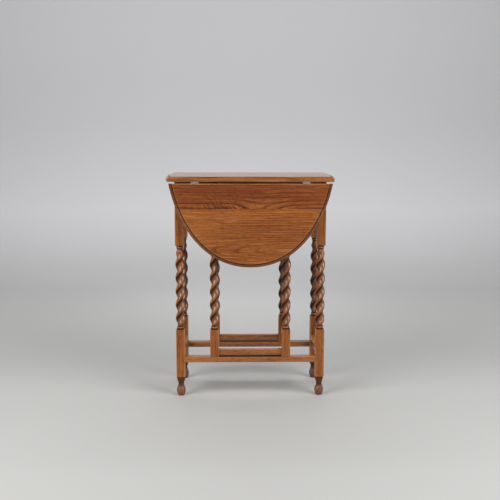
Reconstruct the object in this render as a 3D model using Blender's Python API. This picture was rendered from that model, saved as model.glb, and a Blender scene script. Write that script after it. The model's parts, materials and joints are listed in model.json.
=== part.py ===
"""Oak gateleg table with barley-twist posts, shown with both leaves down.

Sizes are millimetres times MM, so the model is in metres, with +Z up. The origin is on the floor
under the middle of the top, and the front of the table faces -Y. The rear half is the front half
turned half round, so every twist keeps its hand.
"""

import math

import bmesh
import bpy
from mathutils import Matrix, Vector

MM = 0.001

# Fits
CLEARANCE = 0.3 * MM
GATE_CLEARANCE = 0.5 * MM
CUT_MARGIN = 4 * MM

# Legs: square blocks with a turned and twisted length between them
LEG_SIZE = 28 * MM
LEG_SPAN_X = 454 * MM
LEG_SPAN_Y = 186 * MM
FOOT_HEIGHT = 63 * MM
LOWER_BLOCK = 159.5 * MM
TURNED_LENGTH = 276 * MM

# Foot: radii of the pad, the bulb, the neck and the shoulder below the block
FOOT_PAD_RADIUS = 10.2 * MM
FOOT_BULB_RADIUS = 14.8 * MM
FOOT_NECK_RADIUS = 9 * MM
FOOT_SHOULDER_RADIUS = 14.2 * MM
FOOT_BULB_HEIGHT = 17 * MM
FOOT_NECK_HEIGHT = 39.5 * MM
FOOT_SHOULDER_HEIGHT = 57 * MM

# Turned bead at each end of the twist
BEAD_RADIUS = 11.6 * MM
BEAD_HEIGHT = 6.5 * MM
GROOVE_RADIUS = 9.6 * MM
GROOVE_HEIGHT = 3 * MM

# Barley twist: two strands wound right-handed, side by side at one height above the lower block
TWIST_CREST = 14.9 * MM
TWIST_CORE = 8.9 * MM
TWIST_POWER = 2.5
TWIST_PITCH = 88.4 * MM
TWIST_BROADSIDE = 125 * MM
TWIST_RUN_OUT = 10 * MM
RINGS_PER_TURN = 10

# Round collar that the strands run into below the upper bead
COLLAR_RADIUS = 11.4 * MM
COLLAR_NECK = 8.4 * MM
COLLAR_DROP = 16 * MM
COLLAR_LENGTH = 30 * MM

# Top: a fixed panel and two leaves that complete the oval
HEIGHT = 720 * MM
TOP_THICKNESS = 17.2 * MM
PANEL_OVERHANG = 18 * MM
END_OVERHANG = 28.5 * MM
PANEL_EXTRA = 5 * MM
LEAF_DEPTH = 266 * MM
OVAL_POWER = 2.13
MOULD_WIDTH = 11.5 * MM
MOULD_STEP = 1.6 * MM
EDGE_THICKNESS = 6 * MM
LEAF_STEPS = 36
PANEL_END_STEPS = 10
MOULD_STEPS = 4

# Hinges
JOINT_GAP = 0.8 * MM
HINGE_DROP = 3.2 * MM
HINGE_INSET = 51.5 * MM
HINGE_LENGTH = 24 * MM
KNUCKLE_RADIUS = 2.9 * MM
KNUCKLE_MIDDLE = 9 * MM
HINGE_PIN_RADIUS = 1.3 * MM
FLAP_REACH = 31 * MM
FLAP_THICKNESS = 1.8 * MM
FLAP_CURL = 2.2 * MM

# Aprons, stretchers and the blocks under the panel
APRON_DEPTH = 75 * MM
APRON_THICKNESS = 20 * MM
STRETCHER_HEIGHT = 18 * MM
STRETCHER_WIDTH = 27 * MM
STRETCHER_RISE = 50.5 * MM
END_STRETCHER_LIFT = 25.8 * MM
APRON_TENON = 8 * MM
STRETCHER_SHOULDER = 5 * MM
BLOCK_LENGTH = 42 * MM
BLOCK_SIZE = 22 * MM
BLOCK_INSET = 77 * MM

# Gates
GATE_POST = 28 * MM
GATE_INSET = 110.5 * MM
GATE_RAIL_HEIGHT = 19.3 * MM
GATE_RAIL_THICKNESS = 17.2 * MM
GATE_RAIL_SHOULDER = 5 * MM
LOWER_RAIL_GAP = 4.8 * MM
UPPER_RAIL_DROP = 20 * MM
LAP_THICKNESS = 13 * MM
LAP_SIDE_CLEARANCE = 1 * MM
PIVOT_RADIUS = 3 * MM
PIVOT_DEPTH = 12 * MM
PIVOT_SIDES = 16

# Levels and lines worked out from the sizes above
UNDERSIDE = HEIGHT - TOP_THICKNESS
POST_TOP = UNDERSIDE - CLEARANCE
BLOCK_TOP = FOOT_HEIGHT + LOWER_BLOCK
UPPER_BLOCK_BOTTOM = BLOCK_TOP + TURNED_LENGTH
APRON_BOTTOM = POST_TOP - APRON_DEPTH
STRETCHER_BOTTOM = FOOT_HEIGHT + STRETCHER_RISE
STRETCHER_TOP = STRETCHER_BOTTOM + STRETCHER_HEIGHT
GATE_BOTTOM = STRETCHER_TOP + GATE_CLEARANCE
PIVOT_POST_TOP = APRON_BOTTOM - GATE_CLEARANCE
LEG_X = LEG_SPAN_X / 2
LEG_Y = LEG_SPAN_Y / 2
HINGE_X = LEG_X - HINGE_INSET
BLOCK_X = LEG_X - BLOCK_INSET
GATE_POST_X = LEG_X - GATE_INSET
PANEL_EDGE = LEG_Y + LEG_SIZE / 2 + PANEL_OVERHANG
OVAL_A = LEG_X + LEG_SIZE / 2 + END_OVERHANG
OVAL_B = PANEL_EDGE + JOINT_GAP + LEAF_DEPTH
HINGE_Y = PANEL_EDGE + JOINT_GAP / 2
HINGE_Z = UNDERSIDE - HINGE_DROP
POCKET_DEPTH = FLAP_THICKNESS + CLEARANCE
APRON_SHOULDER = (APRON_THICKNESS - APRON_TENON) / 2
TENON_LENGTH = (LEG_SIZE - APRON_TENON) / 2 - 3 * CLEARANCE
BEAD_TOTAL = BEAD_HEIGHT + 2 * GROOVE_HEIGHT

# A ring of twelve points has the four corners of a square among them
RING_POINTS = 12
RING_ANGLES = [math.radians(15 + 30 * step) for step in range(RING_POINTS)]
TWIST_ANGLES = [math.radians(a) for a in (-58, -28, 0, 28, 58, 90, 122, 152, 180, 208, 238, 270)]


def clear_scene():
    for obj in list(bpy.data.objects):
        bpy.data.objects.remove(obj, do_unlink=True)


def new_collection(name):
    collection = bpy.data.collections.new(name)
    bpy.context.scene.collection.children.link(collection)
    return collection


def new_material(name, colour, roughness, metallic):
    material = bpy.data.materials.new(name)
    material.use_nodes = True
    shader = material.node_tree.nodes["Principled BSDF"]
    shader.inputs["Base Color"].default_value = (*colour, 1)
    shader.inputs["Roughness"].default_value = roughness
    shader.inputs["Metallic"].default_value = metallic
    return material


def new_empty(name, parent, location=(0, 0, 0), rotation=(0, 0, 0)):
    empty = bpy.data.objects.new(name, None)
    PARTS.objects.link(empty)
    empty.parent = parent
    empty.location = location
    empty.rotation_euler = rotation
    return empty


def new_part(name, bm, material, parent, location=(0, 0, 0)):
    """Make a named object from a bmesh; its location is in its parent's frame."""
    bmesh.ops.recalc_face_normals(bm, faces=bm.faces)
    mesh = bpy.data.meshes.new(name)
    bm.to_mesh(mesh)
    bm.free()
    mesh.shade_smooth()
    mesh.set_sharp_from_angle(angle=math.radians(35))
    mesh.materials.append(material)
    obj = bpy.data.objects.new(name, mesh)
    PARTS.objects.link(obj)
    obj.parent = parent
    obj.location = location
    return obj


def box(low, high):
    """Box between two corners."""
    low = Vector(low)
    high = Vector(high)
    bm = bmesh.new()
    matrix = Matrix.Translation((low + high) / 2) @ Matrix.Diagonal((*(high - low), 1))
    bmesh.ops.create_cube(bm, size=1, matrix=matrix)
    return bm


def cylinder(radius, start, end):
    """Closed round bar between two points."""
    start = Vector(start)
    axis = Vector(end) - start
    turn = axis.to_track_quat("Z", "Y").to_matrix().to_4x4()
    bm = bmesh.new()
    bmesh.ops.create_cone(
        bm,
        cap_ends=True,
        segments=PIVOT_SIDES,
        radius1=radius,
        radius2=radius,
        depth=axis.length,
        matrix=Matrix.Translation(start + axis / 2) @ turn,
    )
    return bm


def combine(obj, bm, operation):
    """Cut a hidden solid from a part, or join it on; the solid is in the part's own frame."""
    bmesh.ops.recalc_face_normals(bm, faces=bm.faces)
    mesh = bpy.data.meshes.new(f"{obj.name}_tool")
    bm.to_mesh(mesh)
    bm.free()
    tool = bpy.data.objects.new(mesh.name, mesh)
    CUTTERS.objects.link(tool)
    tool.parent = obj
    tool.hide_render = True
    tool.display_type = "WIRE"
    modifier = obj.modifiers.new(operation.lower(), "BOOLEAN")
    modifier.operation = operation
    modifier.object = tool
    modifier.solver = "EXACT"


def loft(rings):
    """Closed solid through rings with the same number of points, flat at both ends."""
    bm = bmesh.new()
    rows = [[bm.verts.new(point) for point in ring] for ring in rings]
    count = len(rows[0])
    for lower, upper in zip(rows, rows[1:]):
        for i in range(count):
            j = (i + 1) % count
            bm.faces.new((lower[i], lower[j], upper[j], upper[i]))
    bm.faces.new(rows[0][::-1])
    bm.faces.new(rows[-1])
    bmesh.ops.triangulate(bm, faces=bm.faces, quad_method="SHORT_EDGE")
    return bm


def square_ring(z, size):
    ring = []
    for angle in RING_ANGLES:
        reach = size / 2 / max(abs(math.cos(angle)), abs(math.sin(angle)))
        ring.append(Vector((reach * math.cos(angle), reach * math.sin(angle), z)))
    return ring


def round_ring(z, radius):
    return [Vector((radius * math.cos(angle), radius * math.sin(angle), z)) for angle in RING_ANGLES]


def started_like(ring, previous):
    """Start a ring at its point nearest the previous ring's first, so that the band isn't wrung."""
    first = previous[0].xy.normalized()
    start = max(range(len(ring)), key=lambda i: ring[i].xy.normalized().dot(first))
    return ring[start:] + ring[:start]


def eased_rings(stations, steps):
    """Round rings on a profile that swells smoothly from one (height, radius) station to the next."""
    rings = [round_ring(*stations[0])]
    for (z0, r0), (z1, r1) in zip(stations, stations[1:]):
        for step in range(1, steps + 1):
            share = step / steps
            ease = (1 - math.cos(math.pi * share)) / 2
            rings.append(round_ring(z0 + (z1 - z0) * share, r0 + (r1 - r0) * ease))
    return rings


def bead_rings(z):
    """A bead between two grooves, upwards from a height."""
    bead_low = z + GROOVE_HEIGHT
    bead_high = bead_low + BEAD_HEIGHT
    rings = [round_ring(z, GROOVE_RADIUS), round_ring(bead_low, GROOVE_RADIUS)]
    for share in (0.2, 0.5, 0.8):
        swell = math.sin(math.pi * share)
        radius = GROOVE_RADIUS + (BEAD_RADIUS - GROOVE_RADIUS) * swell
        rings.append(round_ring(bead_low + BEAD_HEIGHT * share, radius))
    rings.append(round_ring(bead_high, GROOVE_RADIUS))
    rings.append(round_ring(bead_high + GROOVE_HEIGHT, GROOVE_RADIUS))
    return rings


def twist_ring(z, turn, neck, strength):
    """Outline with two strands and two hollows, turned, and faded to a round neck."""
    ring = []
    for angle in TWIST_ANGLES:
        swell = abs(math.cos(angle)) ** TWIST_POWER
        radius = TWIST_CORE + (TWIST_CREST - TWIST_CORE) * swell
        radius = neck + (radius - neck) * strength
        ring.append(Vector((radius * math.cos(turn + angle), radius * math.sin(turn + angle), z)))
    return ring


def twist_rings(low, high, previous):
    """The twist between two beads: a short run-out at its foot and a collar under the upper bead."""
    count = math.ceil((high - low) / TWIST_PITCH * RINGS_PER_TURN)
    rings = []
    for step in range(count + 1):
        rise = (high - low) * step / count
        drop = high - low - rise
        turn = 2 * math.pi * (low + rise - BLOCK_TOP - TWIST_BROADSIDE) / TWIST_PITCH
        neck = GROOVE_RADIUS
        if rise > drop:
            swell = math.sin(math.pi / 2 * min(1, drop / COLLAR_DROP))
            neck = COLLAR_NECK + (COLLAR_RADIUS - COLLAR_NECK) * swell
        faded = COLLAR_DROP / 2
        end = min(1, rise / TWIST_RUN_OUT, max(0, drop - faded) / (COLLAR_LENGTH - faded))
        ring = twist_ring(low + rise, turn, neck, math.sin(math.pi / 2 * end))
        if not rings:
            first = started_like(ring, previous)[0]
            start = ring.index(first)
        rings.append(ring[start:] + ring[:start])
    return rings


def post_rings(size, bottom, top, foot):
    """A post from floor or stretcher to its top: block, bead, twist, bead and block."""
    rings = []
    if foot:
        stations = [
            (0, FOOT_PAD_RADIUS),
            (FOOT_BULB_HEIGHT, FOOT_BULB_RADIUS),
            (FOOT_NECK_HEIGHT, FOOT_NECK_RADIUS),
            (FOOT_SHOULDER_HEIGHT, FOOT_SHOULDER_RADIUS),
        ]
        rings += eased_rings(stations, 3)
    rings += [square_ring(bottom, size), square_ring(BLOCK_TOP, size)]
    rings += bead_rings(BLOCK_TOP)
    upper_bead = UPPER_BLOCK_BOTTOM - BEAD_TOTAL
    rings += twist_rings(BLOCK_TOP + BEAD_TOTAL, upper_bead, rings[-1])[1:]
    above = bead_rings(upper_bead)[1:]
    above += [square_ring(UPPER_BLOCK_BOTTOM, size), square_ring(top, size)]
    rings += [started_like(ring, rings[-1]) for ring in above]
    return rings


def tenoned_rail(length, width, height, shoulder):
    """Rail along X, centred on the origin, with a tenon shouldered all round at each end."""
    half = Vector((length, width, height)) / 2
    bm = box(-half, half)
    for side in (-1, 1):
        end = next(face for face in bm.faces if face.normal.x * side > 0.9)
        bmesh.ops.inset_individual(bm, faces=[end], thickness=shoulder, use_even_offset=True)
        tenon = bmesh.ops.extrude_discrete_faces(bm, faces=[end])["faces"][0]
        bmesh.ops.translate(bm, vec=(side * TENON_LENGTH, 0, 0), verts=tenon.verts)
    return bm


def mortise(post, direction, face, centre_z, width, height, shoulder):
    """Cut the pocket for a tenon into the face of a post that looks along a direction."""
    direction = Vector(direction)
    across = Vector((abs(direction.y), abs(direction.x), 0)) * (width / 2 - shoulder + CLEARANCE)
    upright = Vector((0, 0, height / 2 - shoulder + CLEARANCE))
    mouth = direction * (face + CUT_MARGIN) + Vector((0, 0, centre_z))
    deep = direction * (face - TENON_LENGTH - CLEARANCE) + Vector((0, 0, centre_z))
    corners = [mouth - across - upright, mouth + across + upright, deep - across - upright]
    corners.append(deep + across + upright)
    low = Vector(min(corner[axis] for corner in corners) for axis in range(3))
    high = Vector(max(corner[axis] for corner in corners) for axis in range(3))
    combine(post, box(low, high), "DIFFERENCE")


def oval_half_width(depth, half_width, half_depth):
    """Half width of the oval at a distance from its middle line."""
    share = min(1, depth / half_depth)
    return half_width * (1 - share**OVAL_POWER) ** (1 / OVAL_POWER)


def mould_profile():
    """Thumb moulding as (inset, height) stations: edge, quarter round, small step up to the face."""
    stations = [(0, 0)]
    rise = TOP_THICKNESS - MOULD_STEP - EDGE_THICKNESS
    for step in range(MOULD_STEPS + 1):
        angle = math.pi / 2 * step / MOULD_STEPS
        inset = MOULD_WIDTH * (1 - math.cos(angle))
        stations.append((inset, EDGE_THICKNESS + rise * math.sin(angle)))
    stations.append((MOULD_WIDTH, TOP_THICKNESS))
    return stations


def leaf_ring(inset, height):
    """Half-oval outline, level, in the frame of the hinge axis: the joint edge, then the curve."""
    half_width = OVAL_A - inset
    half_depth = OVAL_B - inset
    joint = PANEL_EDGE + JOINT_GAP
    begin = math.asin((joint / half_depth) ** (OVAL_POWER / 2))
    ring = []
    for step in range(LEAF_STEPS + 1):
        angle = begin + (math.pi - 2 * begin) * step / LEAF_STEPS
        x = math.copysign(half_width * abs(math.cos(angle)) ** (2 / OVAL_POWER), math.cos(angle))
        y = half_depth * math.sin(angle) ** (2 / OVAL_POWER)
        ring.append(Vector((-x, HINGE_Y - y, HINGE_DROP + height)))
    return ring


def panel_ring(inset, height):
    """Outline of the fixed panel: straight joint edges and the two curved ends."""
    ring = []
    for side in (1, -1):
        for step in range(PANEL_END_STEPS + 1):
            y = PANEL_EDGE * (2 * step / PANEL_END_STEPS - 1)
            x = oval_half_width(abs(y), OVAL_A + PANEL_EXTRA - inset, OVAL_B - inset)
            ring.append(Vector((side * x, side * y, UNDERSIDE + height)))
    return ring


def moulded(outline):
    return loft([outline(inset, height) for inset, height in mould_profile()])


def flap_pocket(x, y_sign):
    """Pocket for a hinge flap in the underside, in the frame of the hinge axis with the leaf level."""
    half = HINGE_LENGTH / 2 + CLEARANCE
    near = y_sign * (JOINT_GAP / 2 - CUT_MARGIN)
    far = y_sign * (FLAP_REACH + CLEARANCE)
    low = (x - half, min(near, far), HINGE_DROP - CUT_MARGIN)
    high = (x + half, max(near, far), HINGE_DROP + POCKET_DEPTH)
    return box(low, high)


def flap(name, parent, x, y_sign, spans, material):
    """Hinge flap in the frame of the axis: a plate, and knuckles with their curls over given spans."""
    half = HINGE_LENGTH / 2
    near = y_sign * CLEARANCE
    far = y_sign * FLAP_REACH
    low = (-half, min(near, far), HINGE_DROP)
    high = (half, max(near, far), HINGE_DROP + FLAP_THICKNESS)
    part = new_part(name, box(low, high), material, parent, (x, 0, 0))
    for start, end in spans:
        curl_low = (start, min(0, y_sign * FLAP_CURL), 0)
        curl_high = (end, max(0, y_sign * FLAP_CURL), HINGE_DROP + FLAP_THICKNESS / 2)
        combine(part, box(curl_low, curl_high), "UNION")
        combine(part, cylinder(KNUCKLE_RADIUS, (start, 0, 0), (end, 0, 0)), "UNION")
    bore = cylinder(HINGE_PIN_RADIUS + CLEARANCE, (-half - CUT_MARGIN, 0, 0), (half + CUT_MARGIN, 0, 0))
    combine(part, bore, "DIFFERENCE")
    return part


def build_leg(name, side, frame, material):
    """A leg at one end of the front; side is -1 at the left and 1 at the right."""
    bm = loft(post_rings(LEG_SIZE, FOOT_HEIGHT, POST_TOP, True))
    leg = new_part(name, bm, material, frame, (side * LEG_X, -LEG_Y, 0))
    face = LEG_SIZE / 2
    apron_z = APRON_BOTTOM + APRON_DEPTH / 2
    long_z = STRETCHER_BOTTOM + STRETCHER_HEIGHT / 2
    end_z = long_z + END_STRETCHER_LIFT
    for direction, stretcher_z in (((-side, 0, 0), long_z), ((0, 1, 0), end_z)):
        mortise(leg, direction, face, apron_z, APRON_THICKNESS, APRON_DEPTH, APRON_SHOULDER)
        mortise(leg, direction, face, stretcher_z, STRETCHER_WIDTH, STRETCHER_HEIGHT, STRETCHER_SHOULDER)


def build_long_rails(label, frame, material):
    """The front apron and stretcher, with their bores for the gate and the notch for its fly post."""
    length = LEG_SPAN_X - LEG_SIZE - 2 * CLEARANCE
    bm = tenoned_rail(length, APRON_THICKNESS, APRON_DEPTH, APRON_SHOULDER)
    apron = new_part(f"apron_{label}", bm, material, frame, (0, -LEG_Y, APRON_BOTTOM + APRON_DEPTH / 2))
    half_depth = APRON_DEPTH / 2
    lap_back = LAP_THICKNESS - GATE_POST / 2 + GATE_CLEARANCE
    half_notch = GATE_POST / 2 + LAP_SIDE_CLEARANCE
    low = (-GATE_POST_X - half_notch, -APRON_THICKNESS / 2 - CUT_MARGIN, -half_depth - CUT_MARGIN)
    high = (-GATE_POST_X + half_notch, lap_back, half_depth + CUT_MARGIN)
    combine(apron, box(low, high), "DIFFERENCE")
    bore_top = (GATE_POST_X, 0, -half_depth + PIVOT_DEPTH + CLEARANCE)
    bore_mouth = (GATE_POST_X, 0, -half_depth - CUT_MARGIN)
    combine(apron, cylinder(PIVOT_RADIUS + CLEARANCE, bore_mouth, bore_top), "DIFFERENCE")

    bm = tenoned_rail(length, STRETCHER_WIDTH, STRETCHER_HEIGHT, STRETCHER_SHOULDER)
    middle = STRETCHER_BOTTOM + STRETCHER_HEIGHT / 2
    stretcher = new_part(f"stretcher_{label}", bm, material, frame, (0, -LEG_Y, middle))
    top = STRETCHER_HEIGHT / 2
    bore_bottom = (GATE_POST_X, 0, top - PIVOT_DEPTH - CLEARANCE)
    bore_mouth = (GATE_POST_X, 0, top + CUT_MARGIN)
    combine(stretcher, cylinder(PIVOT_RADIUS + CLEARANCE, bore_bottom, bore_mouth), "DIFFERENCE")


def build_end_rails(label, frame, material):
    """The apron and the raised stretcher at the left end."""
    length = LEG_SPAN_Y - LEG_SIZE - 2 * CLEARANCE
    stretcher_z = STRETCHER_BOTTOM + STRETCHER_HEIGHT / 2 + END_STRETCHER_LIFT
    bm = tenoned_rail(length, APRON_THICKNESS, APRON_DEPTH, APRON_SHOULDER)
    apron = new_part(f"apron_{label}", bm, material, frame, (-LEG_X, 0, APRON_BOTTOM + APRON_DEPTH / 2))
    bm = tenoned_rail(length, STRETCHER_WIDTH, STRETCHER_HEIGHT, STRETCHER_SHOULDER)
    stretcher = new_part(f"stretcher_{label}", bm, material, frame, (-LEG_X, 0, stretcher_z))
    for rail in (apron, stretcher):
        rail.rotation_euler.z = math.pi / 2


def build_top_block(name, side, frame, material):
    """Glue block in the corner between the panel and the inner face of the long apron."""
    inner = -LEG_Y + APRON_THICKNESS / 2 + CLEARANCE
    low = (side * BLOCK_X - BLOCK_LENGTH / 2, inner, POST_TOP - BLOCK_SIZE)
    high = (side * BLOCK_X + BLOCK_LENGTH / 2, inner + BLOCK_SIZE, POST_TOP)
    new_part(name, box(low, high), material, frame)


def build_hinge(label, side, hinge_frame, leaf_frame, metal):
    """One pair of flaps with their pin; the fixed flap holds the middle knuckle."""
    x = side * HINGE_X
    middle = KNUCKLE_MIDDLE / 2
    end = HINGE_LENGTH / 2
    flap(f"hinge_plate_{label}", hinge_frame, x, 1, [(-middle, middle)], metal)
    outer = [(-end, -middle - CLEARANCE), (middle + CLEARANCE, end)]
    flap(f"hinge_flap_{label}", leaf_frame, x, -1, outer, metal)
    pin = cylinder(HINGE_PIN_RADIUS, (-end, 0, 0), (end, 0, 0))
    new_part(f"hinge_pin_{label}", pin, metal, hinge_frame, (x, 0, 0))


def build_leaf(label, leaf_frame, material):
    """A leaf, level in the frame of its hinge axis."""
    leaf = new_part(f"leaf_{label}", moulded(leaf_ring), material, leaf_frame)
    for side in (-1, 1):
        combine(leaf, flap_pocket(side * HINGE_X, -1), "DIFFERENCE")


def build_gate_post(name, x, top, gate_frame, material):
    """A gate post with mortises that face the other post; x is measured from the pivot."""
    bm = loft(post_rings(GATE_POST, GATE_BOTTOM, top, False))
    post = new_part(name, bm, material, gate_frame, (x, 0, 0))
    toward = 1 if x < 0 else -1
    for centre_z in rail_heights():
        size = (GATE_RAIL_THICKNESS, GATE_RAIL_HEIGHT, GATE_RAIL_SHOULDER)
        mortise(post, (toward, 0, 0), GATE_POST / 2, centre_z, *size)
    return post


def rail_heights():
    """Middle heights of the lower and the upper gate rail."""
    lower = STRETCHER_TOP + LOWER_RAIL_GAP + GATE_RAIL_HEIGHT / 2
    upper = APRON_BOTTOM - UPPER_RAIL_DROP - GATE_RAIL_HEIGHT / 2
    return lower, upper


def build_gate(label, gate_frame, wood, metal):
    """A gate in the frame of its pivot axis: the fly post lies to the left."""
    pivot = build_gate_post(f"gate_pivot_post_{label}", 0, PIVOT_POST_TOP, gate_frame, wood)
    fly = build_gate_post(f"gate_fly_post_{label}", -2 * GATE_POST_X, POST_TOP, gate_frame, wood)
    half = GATE_POST / 2 + CUT_MARGIN
    low = (-half, LAP_THICKNESS - GATE_POST / 2, PIVOT_POST_TOP)
    combine(fly, box(low, (half, half, POST_TOP + CUT_MARGIN)), "DIFFERENCE")

    length = 2 * GATE_POST_X - GATE_POST - 2 * CLEARANCE
    for level, centre_z in zip(("lower", "upper"), rail_heights()):
        bm = tenoned_rail(length, GATE_RAIL_THICKNESS, GATE_RAIL_HEIGHT, GATE_RAIL_SHOULDER)
        new_part(f"gate_{level}_rail_{label}", bm, wood, gate_frame, (-GATE_POST_X, 0, centre_z))

    ends = {
        "lower": (STRETCHER_TOP - PIVOT_DEPTH, GATE_BOTTOM + PIVOT_DEPTH),
        "upper": (PIVOT_POST_TOP - PIVOT_DEPTH, APRON_BOTTOM + PIVOT_DEPTH),
    }
    for level, (low_z, high_z) in ends.items():
        pin = cylinder(PIVOT_RADIUS, (0, 0, low_z), (0, 0, high_z))
        new_part(f"gate_{level}_pin_{label}", pin, metal, gate_frame)
    bores = (
        (GATE_BOTTOM - CUT_MARGIN, GATE_BOTTOM + PIVOT_DEPTH + CLEARANCE),
        (PIVOT_POST_TOP - PIVOT_DEPTH - CLEARANCE, PIVOT_POST_TOP + CUT_MARGIN),
    )
    for low_z, high_z in bores:
        bore = cylinder(PIVOT_RADIUS + CLEARANCE, (0, 0, low_z), (0, 0, high_z))
        combine(pivot, bore, "DIFFERENCE")


def build_half(label, ends, turn, oak, pin_steel, hinge_steel):
    """One half of the table, built as the front; ends names its left and right in the room."""
    frame = new_empty(f"frame_{label}", None, (0, 0, 0), (0, 0, turn))
    hinge_frame = new_empty(f"hinge_{label}", frame, (0, -HINGE_Y, HINGE_Z))
    leaf_frame = new_empty(f"leaf_axis_{label}", hinge_frame, (0, 0, 0), (math.pi / 2, 0, 0))
    gate_frame = new_empty(f"gate_axis_{label}", frame, (GATE_POST_X, -LEG_Y, 0))
    for side, end in zip((-1, 1), ends):
        build_leg(f"leg_{label}_{end}", side, frame, oak)
        build_top_block(f"top_block_{label}_{end}", side, frame, oak)
        build_hinge(f"{label}_{end}", side, hinge_frame, leaf_frame, hinge_steel)
    build_long_rails(label, frame, oak)
    build_end_rails(ends[0], frame, oak)
    build_leaf(label, leaf_frame, oak)
    build_gate(label, gate_frame, oak, pin_steel)


def build_panel(material):
    panel = new_part("top_panel", moulded(panel_ring), material, None)
    for y_sign in (-1, 1):
        for side in (-1, 1):
            pocket = flap_pocket(side * HINGE_X, -y_sign)
            bmesh.ops.translate(pocket, vec=(0, y_sign * HINGE_Y, HINGE_Z), verts=pocket.verts)
            combine(panel, pocket, "DIFFERENCE")


clear_scene()
PARTS = new_collection("gateleg_table")
CUTTERS = new_collection("cutters")
OAK = new_material("varnished_oak", (0.29, 0.12, 0.045), 0.38, 0)
PIN_STEEL = new_material("steel_pin", (0.35, 0.34, 0.33), 0.45, 1)
HINGE_STEEL = new_material("hinge_steel", (0.45, 0.44, 0.42), 0.4, 1)
build_panel(OAK)
build_half("front", ("left", "right"), 0, OAK, PIN_STEEL, HINGE_STEEL)
build_half("rear", ("right", "left"), math.pi, OAK, PIN_STEEL, HINGE_STEEL)
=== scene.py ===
"""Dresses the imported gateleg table: finely turned posts, moulded boards, eased rails and varnished oak."""

import json
import math

import bmesh
import bpy
import numpy as np
from mathutils import Matrix, Vector

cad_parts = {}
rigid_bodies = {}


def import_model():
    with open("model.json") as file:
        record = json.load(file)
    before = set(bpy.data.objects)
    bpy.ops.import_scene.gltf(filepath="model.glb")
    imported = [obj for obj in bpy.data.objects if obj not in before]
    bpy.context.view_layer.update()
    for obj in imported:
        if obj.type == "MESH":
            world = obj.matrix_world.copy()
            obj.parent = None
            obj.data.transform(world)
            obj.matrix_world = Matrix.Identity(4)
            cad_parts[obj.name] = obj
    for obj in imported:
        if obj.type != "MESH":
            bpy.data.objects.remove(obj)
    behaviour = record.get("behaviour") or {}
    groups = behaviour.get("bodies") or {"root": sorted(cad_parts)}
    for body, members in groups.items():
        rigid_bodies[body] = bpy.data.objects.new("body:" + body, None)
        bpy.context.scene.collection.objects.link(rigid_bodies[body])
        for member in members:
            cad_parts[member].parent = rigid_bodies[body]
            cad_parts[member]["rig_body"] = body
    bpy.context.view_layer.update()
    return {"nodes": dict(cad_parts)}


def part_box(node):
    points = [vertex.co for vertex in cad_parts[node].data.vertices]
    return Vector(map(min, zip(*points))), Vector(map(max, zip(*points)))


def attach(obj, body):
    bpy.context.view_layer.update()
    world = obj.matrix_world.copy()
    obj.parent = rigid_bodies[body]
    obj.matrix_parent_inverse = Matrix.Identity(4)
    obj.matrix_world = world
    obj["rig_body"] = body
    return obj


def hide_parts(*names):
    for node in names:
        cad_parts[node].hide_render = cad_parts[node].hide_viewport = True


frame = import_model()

MM = 0.001
# Points closer than this are one, in a new piece and in a copy of a solid
MERGE = 0.002 * MM
MERGE_COPY = 0.01 * MM

# Camera of the photograph, fitted to the edges of the table
VIEW_DISTANCE = 2624.7 * MM
VIEW_HEIGHT = 868 * MM
VIEW_PITCH = 0.151
VIEW_TURN = 0.0199
VIEW_ASIDE = 0.00026
VIEW_ROLL = 0.0018
FOCAL_PIXELS = 795.9
PHOTO_PIXELS = 500
SENSOR_WIDTH = 36

# Posts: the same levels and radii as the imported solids, in metres
LEG_SIZE = 28 * MM
FOOT_HEIGHT = 63 * MM
BLOCK_TOP = 222.5 * MM
UPPER_BLOCK = 498.5 * MM
POST_TOP = 702.5 * MM
LAP_BOTTOM = 627 * MM
LAP_THICKNESS = 13 * MM
GATE_BOTTOM = 132 * MM
FOOT_PAD = 10.2 * MM
FOOT_BULB = (17 * MM, 14.8 * MM)
FOOT_NECK = (39.5 * MM, 9 * MM)
FOOT_SHOULDER = (58 * MM, 13.6 * MM)
FOOT_SEAT = 12.2 * MM
FOOT_STEP = 1.2 * MM
FOOT_FILLET = 1 * MM
FOOT_EASE = 0.8 * MM
BEAD_RADIUS = 11.6 * MM
BEAD_HEIGHT = 6.5 * MM
GROOVE_RADIUS = 9.6 * MM
GROOVE_HEIGHT = 3 * MM
GROOVE_FLAT = 2.7 * MM
TWIST_CREST = 14.9 * MM
TWIST_CORE = 8.9 * MM
TWIST_POWER = 2.5
TWIST_PITCH = 88.4 * MM
TWIST_BROADSIDE = 125 * MM
TWIST_RUN_OUT = 10 * MM
TWIST_STEP = 1.3 * MM
COLLAR_RADIUS = 11.4 * MM
COLLAR_NECK = 8.4 * MM
COLLAR_DROP = 16 * MM
COLLAR_LENGTH = 30 * MM
ARRIS = 1.3 * MM
END_EASE = 0.91 * MM
# A quarter of a square ring has five points on its flats, and the rest on its rounded arris
ARRIS_STEPS = 6
RING_POINTS = 4 * (ARRIS_STEPS + 6)
BEAD_STEPS = 8
FOOT_STEPS = 14

# Dark stain on the posts, from 0 to 1: ends of blocks (dark wax and painted shade), beads and their wear
# (with a painted highlight on the crest), feet, above a foot's neck (dark wax and painted shade)
END_WAX_AND_SHADE = 0.6
BEAD_STAIN = 0.3
BEAD_WEAR_AND_HIGHLIGHT = 0.15
FOOT_STAIN = 0.33
NECK_WAX_AND_SHADE = 0.85
# Painted shade under each strand of a twist and in its hollow, by degrees from a strand's crest down to the
# next strand
HOLLOW_ANGLES = (6, 20, 50, 80, 140, 165)
HOLLOW_PAINTED_SHADE = (0, 1, 1, 0.58, 0.4, 0)

# Rails: half of what a gate covers of its stretcher, the shortest edge to be eased, painted shade on inner
# faces
GATE_HALF = 129 * MM
LEAST_EDGE = 20 * MM
INNER_PAINTED_SHADE = 0.7

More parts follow.
